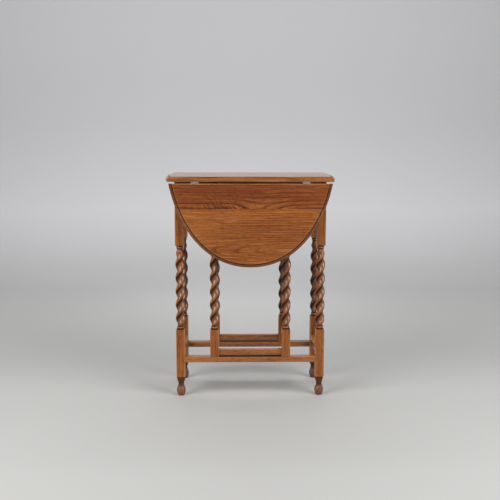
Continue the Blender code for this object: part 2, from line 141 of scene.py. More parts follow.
# Top: the oval of panel and leaves, with its thumb moulding
TOP_HEIGHT = 720 * MM
TOP_THICKNESS = 17.2 * MM
UNDERSIDE = TOP_HEIGHT - TOP_THICKNESS
OVAL_A = 269.5 * MM
OVAL_B = 391.8 * MM
OVAL_POWER = 2.13
PANEL_EXTRA = 5 * MM
PANEL_EDGE = 125 * MM
JOINT_GAP = 0.8 * MM
HINGE_Y = 125.4 * MM
HINGE_Z = 699.6 * MM
HINGE_DROP = 3.2 * MM
HINGE_X = 175.5 * MM
POCKET_HALF = 12.3 * MM
POCKET_REACH = 31.3 * MM
POCKET_DEPTH = 2.1 * MM
POCKET_SPARE = 5 * MM
MOULD_WIDTH = 11.5 * MM
MOULD_STEP = 1.6 * MM
MOULD_EASE = 0.6 * MM
EDGE_THICKNESS = 6 * MM
JOINT_EASE = 1.5 * MM
FIELD_MARGIN = 3 * MM
LEAF_STEPS = 140
PANEL_STEPS = 40
# Dark wax and painted shade on the quarter round, by steps from the edge up to the field
ROUND_STEPS = 12
WAXED_AND_SHADED_STEPS = (1, 5, 8, 10.5)
ROUND_WAX_AND_SHADE = (0.6, 0.35, 0.25, 1)

# Oak, as coarse as the render can show it: spacing of growth lines, then length along the grain and width
GROWTH = 4.5 * MM
LEAF_GROWTH = 11 * MM
STREAKS = (200 * MM, 3 * MM)
FLECKS = (120 * MM, 2.8 * MM)
PORES = (16 * MM, 2.2 * MM)
CLOUDS = (250 * MM, 40 * MM)
WANDER = (300 * MM, 80 * MM)
SWAY = 20 * MM
# Where the heart of the tree lies, and how far along the tree a leaf's upper board comes from
HEART = (0, 60 * MM, -20 * MM)
UPPER_SHIFT = (310 * MM, 50 * MM, 0)

# Figure of the leaves: how deep the flame dips, how far up it is felt, what is left of it at either end,
# its feathers, and the shape of the lines round an eye, ten times as long as high
FLAME_DIP = 27 * MM
FLAME_REACH = 28 * MM
FLAME_LEFT = 0.2
FLAME_RIGHT = 0.3
FEATHER = (24 * MM, 4 * MM)
FEATHER_SLOPE = math.radians(44)
EYE_ALONG = 0.15
EYE_UP = 1.5
# Each leaf's figure in metres: its joint, the flame's far end, left, middle and right, and its eye
FRONT_FIGURE = (0.621, (-0.22, -0.09, 0.025, 0.15), (0.17, 0.489))
REAR_FIGURE = (0.574, (-0.3, -0.15, -0.05, 0.08), (-0.2, 0.5))

# Screws of the hinges, the turns of their slots, and their places across a flap and from the hinge line
SCREW_RADIUS = 2.8 * MM
SCREW_TAPER = 0.94
SCREW_PROUD = 0.2 * MM
SLOT_HALF = 0.45 * MM
SLOT_DEPTH = 0.16 * MM
SCREW_TURNS = (20, 75, 130)
PLATE_SCREWS = ((-7 * MM, 8 * MM), (7 * MM, 8 * MM), (0, 15 * MM))
FLAP_SCREWS = ((-7 * MM, 12 * MM), (7 * MM, 12 * MM), (0, 24 * MM))

# Studio, in metres: the paper's half width, its floor, its sweep up to the wall, and where it fades
PAPER_HALF = 6
FLOOR_FRONT = -4
FLOOR_BACK = 2.4
SWEEP_RADIUS = 1.2
WALL_HEIGHT = 3.5
FRONT_FADE = (-1.2, -2.8)
SIDE_FADE = (2, 3.6)
# Tones of the paper, with painted light and shade, by metres along the floor and up the wall, the two ends
# first
TONE_RANGE = (-1.5, 6)
PAPER_PAINTED_LIGHT = (
    (-1, "bebebc"),
    (5.6, "d6d6d8"),
    (0.5, "afafad"),
    (1.8, "b0b0b0"),
    (3.6, "dcdcde"),
    (4.6, "d2d2d4"),
)
# How pale the room beyond the paper looks, and how much light it gives
ROOM_LEVEL = 0.35
ROOM_LIGHT = 0.07


# Nodes and materials
def linear(code):
    """Linear colour of an sRGB hex code."""
    channels = [int(code[i:i + 2], 16) / 255 for i in (0, 2, 4)]
    return [c / 12.92 if c <= 0.04045 else ((c + 0.055) / 1.055) ** 2.4 for c in channels] + [1]


def add(tree, kind, sockets=None, stops=None, **settings):
    """Add a node; a socket takes a value, a hex colour, an output, or a node for its first output."""
    node = tree.nodes.new(kind)
    for key, value in settings.items():
        setattr(node, key, value)
    for key, value in (sockets or {}).items():
        if isinstance(value, bpy.types.Node):
            value = value.outputs[0]
        if isinstance(value, bpy.types.NodeSocket):
            tree.links.new(value, node.inputs[key])
        else:
            node.inputs[key].default_value = linear(value) if isinstance(value, str) else value
    for index, (place, code) in enumerate(stops or ()):
        elements = node.color_ramp.elements
        element = elements[index] if index < 2 else elements.new(place)
        element.position = place
        element.color = linear(code)
    return node


def new_material(name):
    """An empty material and its node tree."""
    material = bpy.data.materials.new(name)
    material.use_nodes = True
    material.node_tree.nodes.clear()
    return material, material.node_tree


def leaf_figure(tree, place, joint, flame, eye):
    """Figure of a leaf of two glued boards: grain, growth, upper board, nearness to joint, feathers, dark.

    Above the joint the growth lines dip towards it at the flame, with short feathers on its left.
    Below the joint they close round an eye.
    """
    parts = add(tree, "ShaderNodeSeparateXYZ", {0: place}).outputs
    above = add(tree, "ShaderNodeMath", {0: parts["Z"], 1: joint}, operation="SUBTRACT")
    upper = add(tree, "ShaderNodeMath", {0: above, 1: 0}, operation="GREATER_THAN")
    sunk = add(tree, "ShaderNodeMath", {0: above, 1: -FLAME_REACH}, operation="DIVIDE")
    fade = add(tree, "ShaderNodeMath", {0: sunk}, operation="EXPONENT")
    near = add(tree, "ShaderNodeMath", {0: upper, 1: fade}, operation="MULTIPLY")

    outer, left, middle, right = flame
    slopes = []
    for start, end, low, high in (
        (left, middle, FLAME_LEFT, 1),
        (middle, right, 1, FLAME_RIGHT),
        (outer, middle, 0, 1),
    ):
        slopes.append(
            add(
                tree,
                "ShaderNodeMapRange",
                {"Value": parts["X"], "From Min": start, "From Max": end, "To Min": low, "To Max": high},
                interpolation_type="SMOOTHSTEP",
            )
        )
    fall, climb, beside = slopes
    dip = near
    for share in (fall, climb, FLAME_DIP):
        dip = add(tree, "ShaderNodeMath", {0: dip, 1: share}, operation="MULTIPLY")
    push = add(tree, "ShaderNodeCombineXYZ", {"Z": dip})
    grain = add(tree, "ShaderNodeVectorMath", {0: place, 1: push})

    x, z = eye
    around = add(
        tree,
        "ShaderNodeMapping",
        {"Vector": place, "Location": (-x * EYE_ALONG, 0, -z * EYE_UP), "Scale": (EYE_ALONG, 0, EYE_UP)},
    )
    ring = add(tree, "ShaderNodeVectorMath", {0: around}, operation="LENGTH").outputs["Value"]
    line = add(tree, "ShaderNodeSeparateXYZ", {0: grain}).outputs["Z"]
    growth = add(tree, "ShaderNodeMix", {0: upper, 2: ring, 3: line})

    # Feathers slope down to the right
    long, wide = FEATHER
    slant = add(
        tree,
        "ShaderNodeMapping",
        {"Vector": place, "Rotation": (0, FEATHER_SLOPE, 0), "Scale": (long, 1, wide)},
        vector_type="TEXTURE",
    )
    strokes = add(tree, "ShaderNodeTexNoise", {"Vector": slant, "Scale": 1, "Detail": 0})
    feathers = add(tree, "ShaderNodeMapRange", {"Value": strokes, "From Min": 0.4, "From Max": 0.6})
    beside = add(tree, "ShaderNodeMath", {0: beside, 1: 0.5}, operation="PINGPONG")
    beside = add(tree, "ShaderNodeMath", {0: beside, 1: 5}, operation="MULTIPLY", use_clamp=True)
    for share in (near, beside):
        feathers = add(tree, "ShaderNodeMath", {0: feathers, 1: share}, operation="MULTIPLY")
    # The upper board is darker, by degrees across the joint
    darker = add(tree, "ShaderNodeMapRange", {"Value": above, "From Min": -10 * MM, "From Max": 25 * MM})
    return grain, growth, upper, near, feathers, darker


def varnished_oak(
    name, turn, tones, gloss, polish=0.7, thin="ffffff", open_grain=0.6, shift=(0, 0, 0), leaf=None
):
    """Oak, stained and varnished: streaks and growth lines along the grain, pores, dark wax and painted
    shade in hollows, pale wear and painted highlights on arrises.

    turn brings the grain to X. gloss is the varnish's least roughness, polish its reflection and thin what
    is left of it on the flats. open_grain is how dark the pores are, shift takes another stretch of oak,
    and leaf is the figure of a leaf: its joint, flame and eye.
    """
    material, tree = new_material(name)
    place = add(tree, "ShaderNodeTexCoord").outputs["Object"]
    if leaf:
        grain, growth, upper, near, feathers, darker = leaf_figure(tree, place, *leaf)
        other = add(tree, "ShaderNodeVectorMath", {0: upper, 1: UPPER_SHIFT}, operation="MULTIPLY")
        grain = add(tree, "ShaderNodeVectorMath", {0: grain, 1: other})
        grain = add(tree, "ShaderNodeMapping", {"Vector": grain, "Location": shift})
    else:
        grain = add(tree, "ShaderNodeMapping", {"Vector": place, "Rotation": turn, "Location": shift})

    # The grain wanders by a few millimetres over a third of a metre
    long, wide = WANDER
    slow = add(
        tree, "ShaderNodeMapping", {"Vector": grain, "Scale": (long, wide, wide)}, vector_type="TEXTURE"
    )
    wander = add(tree, "ShaderNodeTexNoise", {"Vector": slow, "Scale": 1, "Detail": 2})
    centred = add(
        tree, "ShaderNodeVectorMath", {0: wander.outputs["Color"], 1: (0.5, 0.5, 0.5)}, operation="SUBTRACT"
    )
    sway = add(tree, "ShaderNodeVectorMath", {0: centred, 1: (0, SWAY, SWAY)}, operation="MULTIPLY")
    flow = add(tree, "ShaderNodeVectorMath", {0: grain, 1: sway})

    # Growth lines, round the heart of the tree or as the leaf's figure gives them
    if leaf:
        drift = add(tree, "ShaderNodeMath", {0: wander, 1: SWAY}, operation="MULTIPLY")
        growth = add(tree, "ShaderNodeMath", {0: growth, 1: drift})
    else:
        heart = add(tree, "ShaderNodeMapping", {"Vector": flow, "Location": HEART, "Scale": (0, 1, 1)})
        growth = add(tree, "ShaderNodeVectorMath", {0: heart}, operation="LENGTH").outputs["Value"]
    spacing, most, paleness = (LEAF_GROWTH, 0.7, 0.6) if leaf else (GROWTH, 1, 0.3)
    years = add(tree, "ShaderNodeMath", {0: growth, 1: spacing}, operation="DIVIDE")
    season = add(tree, "ShaderNodeMath", {0: years}, operation="FRACT")
    line = add(tree, "ShaderNodeMapRange", {"Value": season, "From Max": 0.4, "To Min": 1, "To Max": 0})
    patchy = add(
        tree, "ShaderNodeMapRange", {"Value": wander, "From Min": 0.38, "From Max": 0.65, "To Max": most}
    )
    if leaf:
        patchy = add(tree, "ShaderNodeMath", {0: patchy, 1: near}, operation="MAXIMUM")
    line = add(tree, "ShaderNodeMath", {0: line, 1: patchy}, operation="MULTIPLY")

    noises = []
    for (long, wide), detail in ((STREAKS, 3), (FLECKS, 1), (PORES, 2), (CLOUDS, 2)):
        sized = add(
            tree, "ShaderNodeMapping", {"Vector": flow, "Scale": (long, wide, wide)}, vector_type="TEXTURE"
        )
        noises.append(add(tree, "ShaderNodeTexNoise", {"Vector": sized, "Scale": 1, "Detail": detail}))
    streaks, flecks, pores, clouds = noises
    dark, middle_tone, light = tones
    tone = add(
        tree, "ShaderNodeValToRGB", {"Fac": streaks}, [(0.28, dark), (0.72, light), (0.5, middle_tone)]
    )
    gleam = add(
        tree, "ShaderNodeMapRange", {"Value": flecks, "From Min": 0.52, "From Max": 0.7, "To Max": paleness}
    )
    pits = add(tree, "ShaderNodeMapRange", {"Value": pores, "From Min": 0.54, "From Max": 0.66})
    pitted = add(tree, "ShaderNodeMath", {0: pits, 1: open_grain}, operation="MULTIPLY")
    shaded = add(
        tree, "ShaderNodeMapRange", {"Value": clouds, "From Min": 0.35, "From Max": 0.65, "To Max": 0.5}
    )
    # The edge attribute paints arrises paler: wear, with a painted highlight on beads and the moulding's
    # arris
    edge = add(tree, "ShaderNodeAttribute", attribute_name="edge").outputs["Fac"]
    wear_and_painted_highlight = add(tree, "ShaderNodeMath", {0: edge, 1: 0.4}, operation="MULTIPLY")
    # The groove attribute paints hollows dark: dark wax and painted shade
    groove = add(tree, "ShaderNodeAttribute", attribute_name="groove").outputs["Fac"]
    wax_and_painted_shade = add(tree, "ShaderNodeMath", {0: groove, 1: 0.88}, operation="MULTIPLY")
    layers = [(gleam, "c58643", "MIX")]
    if leaf:
        strong = add(tree, "ShaderNodeMath", {0: line, 1: near}, operation="MULTIPLY")
        layers += [(darker, "d2bdb0", "MULTIPLY"), (feathers, "ab7f5e", "MULTIPLY")]
        layers += [(strong, "a58068", "MULTIPLY")]
    layers += [(shaded, "cbb4a4", "MULTIPLY"), (line, "8e6346", "MULTIPLY")]
    # Then pores, pale wear and painted highlight on arrises, and dark wax and painted shade in hollows
    layers += [(pitted, "7a5642", "MULTIPLY"), (wear_and_painted_highlight, "b88350", "MIX"), (wax_and_painted_shade, "2e1508", "MIX")]
    for share, colour, blend in layers:
        tone = add(
            tree, "ShaderNodeMix", {0: share, 6: tone, 7: colour}, data_type="RGBA", blend_type=blend
        ).outputs[2]

    # Varnish lies thin on the flats and thick in the hollows, and the bottom of a groove is duller
    satin = add(
        tree,
        "ShaderNodeMapRange",
        {"Value": streaks, "From Min": 0.3, "From Max": 0.7, "To Min": gloss, "To Max": gloss + 0.07},
    )
    dull = add(tree, "ShaderNodeMath", {0: groove, 1: 3}, operation="POWER")
    rough = add(tree, "ShaderNodeMath", {0: dull, 1: 0.45, 2: satin}, operation="MULTIPLY_ADD")
    shine = add(
        tree,
        "ShaderNodeValToRGB",
        {"Fac": groove},
        [(0, thin), (1, "4a4038"), (0.3, "ffffff"), (0.6, "ffffff")],
    )
    bump = add(
        tree,
        "ShaderNodeBump",
        {"Height": pits, "Strength": 0.2 * open_grain, "Distance": 0.15 * MM},
        invert=True,
    )
    shader = add(
        tree,
        "ShaderNodeBsdfPrincipled",
        {
            "Base Color": tone,
            "Roughness": rough,
            "Normal": bump,
            "IOR": 1.5,
            "Specular IOR Level": polish,
            "Specular Tint": shine,
        },
    )
    add(tree, "ShaderNodeOutputMaterial", {"Surface": shader})
    return material


def bare_softwood(name):
    """Planed pine, left bare: pale yellow-brown, soft growth lines and no gloss."""
    material, tree = new_material(name)
    place = add(tree, "ShaderNodeTexCoord").outputs["Object"]
    # Growth lines 3 mm apart and 120 mm long, stains about 30 mm across
    sized = add(
        tree, "ShaderNodeMapping", {"Vector": place, "Scale": (0.12, 0.003, 0.003)}, vector_type="TEXTURE"
    )
    lines = add(tree, "ShaderNodeTexNoise", {"Vector": sized, "Scale": 1, "Detail": 2})
    tone = add(
        tree, "ShaderNodeValToRGB", {"Fac": lines}, [(0.35, "8d6a41"), (0.7, "b8945f"), (0.5, "a98453")]
    )
    stains = add(tree, "ShaderNodeTexNoise", {"Vector": place, "Scale": 33, "Detail": 3})
    aged = add(
        tree, "ShaderNodeMapRange", {"Value": stains, "From Min": 0.4, "From Max": 0.7, "To Max": 0.6}
    )
    tone = add(
        tree,
        "ShaderNodeMix",
        {0: aged, 6: tone, 7: "a58a6a"},
        data_type="RGBA",
        blend_type="MULTIPLY",
    ).outputs[2]
    rough = add(tree, "ShaderNodeMapRange", {"Value": lines, "To Min": 0.85, "To Max": 0.7})
    bump = add(tree, "ShaderNodeBump", {"Height": lines, "Strength": 0.3, "Distance": 0.2 * MM})
    shader = add(
        tree, "ShaderNodeBsdfPrincipled", {"Base Color": tone, "Roughness": rough, "Normal": bump}
    )
    add(tree, "ShaderNodeOutputMaterial", {"Surface": shader})
    return material


def dulled_steel(name, tones, roughness):
    """Old plain steel: grey with a dull bloom, and darker in the slots of its screws."""
    material, tree = new_material(name)
    place = add(tree, "ShaderNodeTexCoord").outputs["Object"]
    # Blooms about 4 mm across
    bloom = add(tree, "ShaderNodeTexNoise", {"Vector": place, "Scale": 250, "Detail": 4})
    dark, light = tones
    tone = add(tree, "ShaderNodeValToRGB", {"Fac": bloom}, [(0.35, dark), (0.6, light)])
    darkened = add(tree, "ShaderNodeAttribute", attribute_name="groove").outputs["Fac"]
    tone = add(tree, "ShaderNodeMix", {0: darkened, 6: tone, 7: "241f1a"}, data_type="RGBA").outputs[2]
    rough = add(
        tree,
        "ShaderNodeMapRange",
        {"Value": bloom, "To Min": roughness + 0.15, "To Max": roughness - 0.1},
    )
    shader = add(
        tree, "ShaderNodeBsdfPrincipled", {"Base Color": tone, "Metallic": 1, "Roughness": rough}
    )
    add(tree, "ShaderNodeOutputMaterial", {"Surface": shader})
    return material


def shows_room(tree):
    """1 for a ray that shows the room: from the camera, or off something shiny or clear."""
    path = add(tree, "ShaderNodeLightPath").outputs
    shown = path["Is Camera Ray"]
    for kind in ("Is Glossy Ray", "Is Transmission Ray"):
        shown = add(tree, "ShaderNodeMath", {0: shown, 1: path[kind]}, operation="MAXIMUM")
    return shown


def studio_paper(name):
    """Matt seamless paper: pale grey, a little darker where the floor ends and lighter low on the wall, as
    painted shade and painted light.

    At the sides and towards the front it fades into the grey of the room.
    """
    material, tree = new_material(name)
    place = add(tree, "ShaderNodeTexCoord").outputs["Object"]
    parts = add(tree, "ShaderNodeSeparateXYZ", {0: place}).outputs
    along = add(tree, "ShaderNodeMath", {0: parts["Y"], 1: parts["Z"]})
    cloud = add(tree, "ShaderNodeTexNoise", {"Vector": place, "Scale": 1.2, "Detail": 2})
    faint = add(tree, "ShaderNodeMath", {0: cloud, 1: 0.3, 2: along}, operation="MULTIPLY_ADD")
    start, end = TONE_RANGE
    share = add(tree, "ShaderNodeMapRange", {"Value": faint, "From Min": start, "From Max": end})
    stops = [((metres - start) / (end - start), code) for metres, code in PAPER_PAINTED_LIGHT]
    # Painted light and shade in the paper's tone along the floor and up the wall
    tone = add(tree, "ShaderNodeValToRGB", {"Fac": share}, stops)
    paper = add(tree, "ShaderNodeBsdfPrincipled", {"Base Color": tone, "Roughness": 0.75})
    aside = add(tree, "ShaderNodeMath", {0: parts["X"]}, operation="ABSOLUTE")
    away = 0
    for value, (start, end) in ((parts["Y"], FRONT_FADE), (aside, SIDE_FADE)):
        fade = add(
            tree,
            "ShaderNodeMapRange",
            {"Value": value, "From Min": start, "From Max": end},
            interpolation_type="SMOOTHSTEP",
        )
        away = add(tree, "ShaderNodeMath", {0: away, 1: fade}, operation="MAXIMUM")
    shown = add(tree, "ShaderNodeMath", {0: away, 1: shows_room(tree)}, operation="MULTIPLY")
    room = add(tree, "ShaderNodeEmission", {"Color": "ffffff", "Strength": ROOM_LEVEL})
    shader = add(tree, "ShaderNodeMixShader", {0: shown, 1: paper, 2: room})
    add(tree, "ShaderNodeOutputMaterial", {"Surface": shader})
    return material


# Meshes
def new_piece(name, bm, material, smooth=35):
    """Object at the origin from a bmesh, smooth apart from edges sharper than an angle."""
    bmesh.ops.remove_doubles(bm, verts=bm.verts, dist=MERGE)
    bmesh.ops.recalc_face_normals(bm, faces=bm.faces)
    mesh = bpy.data.meshes.new(name)
    bm.to_mesh(mesh)
    bm.free()
    mesh.shade_smooth()
    mesh.set_sharp_from_angle(angle=math.radians(smooth))
    mesh.materials.append(material)
    piece = bpy.data.objects.new(name, mesh)
    bpy.context.scene.collection.objects.link(piece)
    return piece


def dress(piece, node):
    """Let a piece stand for a CAD node, on the node's own body."""
    body = frame["nodes"][node]["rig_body"]
    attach(piece, body)
    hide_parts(node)


def lofted(rings):
    """Solid drawn up from a flat ring by extruding its outline to each further ring.

    A ring is a list of (place, groove, edge): where a point goes, how dark it is with dark wax and painted
    shade, and how pale with wear and painted highlight.
    """
    bm = bmesh.new()
    groove = bm.verts.layers.float.new("groove")
    edge = bm.verts.layers.float.new("edge")
    count = len(rings[0])
    loop = bmesh.ops.create_circle(bm, cap_ends=True, segments=count, radius=1)["verts"]
    for index, ring in enumerate(rings):
        if index:
            outline = [bm.edges.get((a, b)) for a, b in zip(loop, loop[1:] + loop[:1])]
            grown = bmesh.ops.extrude_edge_only(bm, edges=outline)["geom"]
            fresh = {item for item in grown if isinstance(item, bmesh.types.BMVert)}
            loop = [
                next(e.other_vert(v) for e in v.link_edges if e.other_vert(v) in fresh) for v in loop
            ]
        for vert, (place, depth, wear) in zip(loop, ring):
            vert.co = place
            vert[groove] = depth
            vert[edge] = wear
    bmesh.ops.contextual_create(bm, geom=loop)
    return bm


# Turned and twisted posts
def square_ring(z, half, groove=0):
    """Square outline with rounded arrises; index 0 looks along +X."""
    flat = half - ARRIS
    quarter = [(half, flat * share, 0) for share in (0, 0.45, 0.8)]
    for step in range(ARRIS_STEPS + 1):
        angle = math.pi / 2 * step / ARRIS_STEPS
        quarter.append((flat + ARRIS * math.cos(angle), flat + ARRIS * math.sin(angle), 1))
    quarter += [(flat * share, half, 0) for share in (0.8, 0.45)]
    ring = []
    for turn in range(4):
        rotation = Matrix.Rotation(math.pi / 2 * turn, 3, "Z")
        ring += [(rotation @ Vector((x, y, z)), groove, wear) for x, y, wear in quarter]
    return ring


def round_ring(z, radius, groove=0, edge=0):
    """Round outline; index 0 looks along +X."""
    ring = []
    for index in range(RING_POINTS):
        angle = 2 * math.pi * index / RING_POINTS
        ring.append((Vector((radius * math.cos(angle), radius * math.sin(angle), z)), groove, edge))
    return ring


def twist_ring(z, turn, neck, strength):
    """Outline with two narrow strands and two wide hollows, faded to a round neck, with painted shade under
    each strand.
    """
    ring = []
    for index in range(RING_POINTS):
        angle = 2 * math.pi * index / RING_POINTS
        swell = abs(math.cos(angle)) ** TWIST_POWER
        radius = TWIST_CORE + (TWIST_CREST - TWIST_CORE) * swell
        radius = neck + (radius - neck) * strength
        place = Vector((radius * math.cos(angle + turn), radius * math.sin(angle + turn), z))
        # Painted shade: darkest just below a strand's crest, lighter across the hollow
        depth = np.interp(math.degrees(angle) % 180, HOLLOW_ANGLES, HOLLOW_PAINTED_SHADE)
        ring.append((place, depth * strength, 0))
    return ring


def bead_rings(z):
    """A bead between two grooves, upwards from a height; the grooves are darkened with dark wax and painted
    shade, and the crest is paler with wear and a painted highlight.
    """
    rings = [round_ring(z, GROOVE_RADIUS, 1), round_ring(z + GROOVE_FLAT, GROOVE_RADIUS, 1)]
    for step in range(BEAD_STEPS + 1):
        angle = math.pi * step / BEAD_STEPS
        radius = GROOVE_RADIUS + (BEAD_RADIUS - GROOVE_RADIUS) * math.sin(angle)
        height = z + GROOVE_HEIGHT + BEAD_HEIGHT * (1 - math.cos(angle)) / 2
        # Darker towards the grooves as dark wax and painted shade, paler at the crest as wear and a painted
        # highlight
        depth = BEAD_STAIN + (1 - BEAD_STAIN) * (1 - math.sin(angle)) ** 3
        rings.append(round_ring(height, radius, depth, BEAD_WEAR_AND_HIGHLIGHT * math.sin(angle)))
    top = z + BEAD_HEIGHT + 2 * GROOVE_HEIGHT
    rings += [round_ring(top - GROOVE_FLAT, GROOVE_RADIUS, 1), round_ring(top, GROOVE_RADIUS, 1)]
    return rings


def block_rings(low, high, half):
    """Square block with its ends eased, and its ends darkened with dark wax and painted shade."""
    return [
        square_ring(low, half - END_EASE, END_WAX_AND_SHADE),
        square_ring(low + END_EASE, half),
        square_ring(high - END_EASE, half),
        square_ring(high, half - END_EASE, END_WAX_AND_SHADE),
    ]


def foot_rings():
    """Turned foot: a ball that rises from a flat pad, a neck and a shoulder below the block, with the ball
    darkened towards the pad, and the neck and shoulder darkened, by dark wax and painted shade.
    """
    rings = [round_ring(0, FOOT_PAD - FOOT_EASE, 0.5)]
    bulb, neck, shoulder = FOOT_BULB, FOOT_NECK, FOOT_SHOULDER
    for step in range(FOOT_STEPS + 1):
        share = step / FOOT_STEPS
        z = FOOT_EASE + (bulb[0] - FOOT_EASE) * share
        radius = FOOT_PAD + (bulb[1] - FOOT_PAD) * math.sin(math.pi / 2 * share)
        # Painted shade darkens the ball towards the pad
        rings.append(round_ring(z, radius, FOOT_STAIN + 0.45 * (1 - share) ** 2))
    for (z0, r0), (z1, r1), least in ((bulb, neck, 0), (neck, shoulder, NECK_WAX_AND_SHADE)):
        for step in range(1, FOOT_STEPS + 1):
            share = step / FOOT_STEPS
            radius = r0 + (r1 - r0) * (1 - math.cos(math.pi * share)) / 2
            depth = (bulb[1] - radius) / (bulb[1] - neck[1])
            # Darker towards the neck: dark wax and painted shade
            stain_and_shade = max(least, FOOT_STAIN + 0.55 * depth)
            rings.append(round_ring(z0 + (z1 - z0) * share, radius, stain_and_shade))
    # Dark wax and painted shade on the shoulder and the seat under the block
    rings.append(round_ring(shoulder[0] + FOOT_STEP, shoulder[1], 0.8))
    rings.append(round_ring(shoulder[0] + FOOT_STEP + FOOT_FILLET, FOOT_SEAT, 1))
    rings.append(round_ring(FOOT_HEIGHT - FOOT_STEP, FOOT_SEAT, 1))
    return rings


def turned_by(ring, steps):
    """The same ring started some points later."""
    steps %= len(ring)
    return ring[steps:] + ring[:steps]


def post_rings(bottom, top, foot):
    """A post from its foot or block to its top, with a barley twist between two beads."""
    half = LEG_SIZE / 2
    bead = BEAD_HEIGHT + 2 * GROOVE_HEIGHT
    rings = foot_rings() if foot else []
    rings += block_rings(bottom, BLOCK_TOP, half) + bead_rings(BLOCK_TOP)
    low = BLOCK_TOP + bead
    high = UPPER_BLOCK - bead
    count = round((high - low) / TWIST_STEP)
    point = 2 * math.pi / RING_POINTS
    # Each ring starts beside the start of the ring below it, so that the faces follow the strands
    first = last = 0
    for step in range(count + 1):
        rise = (high - low) * step / count
        drop = high - low - rise
        turn = 2 * math.pi * (low + rise - BLOCK_TOP - TWIST_BROADSIDE) / TWIST_PITCH
        neck = GROOVE_RADIUS
        if rise > drop:
            swell = math.sin(math.pi / 2 * min(1, drop / COLLAR_DROP))
            neck = COLLAR_NECK + (COLLAR_RADIUS - COLLAR_NECK) * swell
        faded = COLLAR_DROP / 2
        end = min(1, rise / TWIST_RUN_OUT, max(0, drop - faded) / (COLLAR_LENGTH - faded))
        if step == 0:
            first = round(turn / point)
        last = round(turn / point)
        ring = twist_ring(low + rise, turn, neck, math.sin(math.pi / 2 * end))
        rings.append(turned_by(ring, -first))
    above = bead_rings(high) + block_rings(UPPER_BLOCK, top, half)
    return rings + [turned_by(ring, last - first) for ring in above]


def lap_rings(ring, front):
    """The half lap at the top of a fly post: a ledge, then a tongue at the outer face."""
    back = front * (LEG_SIZE / 2 - LAP_THICKNESS)
    rings = []
    for z in (LAP_BOTTOM, POST_TOP):
        lapped = []
        for place, groove, wear in ring:
            y = min(place.y, back) if front < 0 else max(place.y, back)
            lapped.append((Vector((place.x, y, z)), groove, wear))
        rings.append(lapped)
    return rings


def dress_post(node, material, bottom, top, foot, lap=0):
    """A turned post in place of its plainer solid; lap is the side of a fly post's tongue."""
    low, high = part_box(node)
    rings = post_rings(bottom, top, foot)
    if lap:
        rings += lap_rings(rings[-2], lap)
    bm = lofted(rings)
    middle = (low + high) / 2
    if lap:
        middle.y = low.y + LEG_SIZE / 2
    bmesh.ops.translate(bm, vec=(middle.x, middle.y, 0), verts=bm.verts)
    piece = new_piece(f"turned_{node}", bm, material)
    dress(piece, node)


# Moulded boards of the top
def mould_profile():
    """Thumb moulding as (inset, height, groove, edge): underside, edge, quarter round, step, field; the
    edge, quarter round and step are darkened with dark wax and painted shade, and the field's arris is paler
    with wear and a painted highlight.
    """
    stations = [(MOULD_EASE, 0, 0, 1), (0, MOULD_EASE, 0, 1), (0, EDGE_THICKNESS, 0.5, 0)]
    rise = TOP_THICKNESS - MOULD_STEP - EDGE_THICKNESS
    for step in range(1, ROUND_STEPS + 1):
        angle = math.pi / 2 * step / ROUND_STEPS
        inset = MOULD_WIDTH * (1 - math.cos(angle))
        depth = np.interp(step, WAXED_AND_SHADED_STEPS, ROUND_WAX_AND_SHADE)
        stations.append((inset, EDGE_THICKNESS + rise * math.sin(angle), depth, 0))
    # Dark wax and painted shade in the step, then wear and a painted highlight on the field's arris
    stations.append((MOULD_WIDTH + MOULD_EASE / 6, TOP_THICKNESS - MOULD_EASE, 1, 0))
    stations.append((MOULD_WIDTH + MOULD_EASE / 2, TOP_THICKNESS - MOULD_EASE / 3, 0, 1))
    stations.append((MOULD_WIDTH + MOULD_EASE, TOP_THICKNESS, 0, 1))
    stations.append((MOULD_WIDTH + FIELD_MARGIN, TOP_THICKNESS, 0, 0))
    return stations


def joint_setback(inset, height):
    """How far the joint edge of a board lies back at a height, for its eased arrises."""
    beyond = max(JOINT_EASE - height, height - TOP_THICKNESS + JOINT_EASE, 0)
    setback = JOINT_EASE - math.sqrt(JOINT_EASE**2 - beyond**2)
    return setback + max(0, inset - MOULD_WIDTH - JOINT_EASE)


def leaf_rings(turn):
    """The hanging leaf: its curve runs from one end of the joint edge to the other."""
    rotation = Matrix.Rotation(turn, 3, "Z")
    rings = []
    for inset, height, groove, wear in mould_profile():
        half_width = OVAL_A - inset
        half_depth = OVAL_B - inset
        joint = PANEL_EDGE + JOINT_GAP + joint_setback(inset, height)
        begin = math.asin((joint / half_depth) ** (OVAL_POWER / 2))
        ring = []
        for step in range(LEAF_STEPS + 1):
            angle = begin + (math.pi - 2 * begin) * step / LEAF_STEPS
            x = math.copysign(half_width * abs(math.cos(angle)) ** (2 / OVAL_POWER), math.cos(angle))
            out = half_depth * math.sin(angle) ** (2 / OVAL_POWER)
            place = Vector((x, -HINGE_Y - HINGE_DROP - height, HINGE_Z + HINGE_Y - out))
            depth = groove if 0 < step < LEAF_STEPS else 0
            ring.append((rotation @ place, depth, wear))
        rings.append(ring)
    return rings


def panel_rings():
    """The fixed panel: straight joint edges and two moulded ends."""
    rings = []
    for inset, height, groove, wear in mould_profile():
        ring = []
        joint = PANEL_EDGE - joint_setback(inset, height)
        for side in (1, -1):
            for step in range(PANEL_STEPS + 1):
                y = joint * (2 * step / PANEL_STEPS - 1)
                share = abs(y) / (OVAL_B - inset)
                half_width = OVAL_A + PANEL_EXTRA - inset
                x = half_width * (1 - share**OVAL_POWER) ** (1 / OVAL_POWER)
                place = Vector((side * x, side * y, UNDERSIDE + height))
                depth = groove if 0 < step < PANEL_STEPS else 0
                ring.append((place, depth, wear))
        rings.append(ring)
    return rings


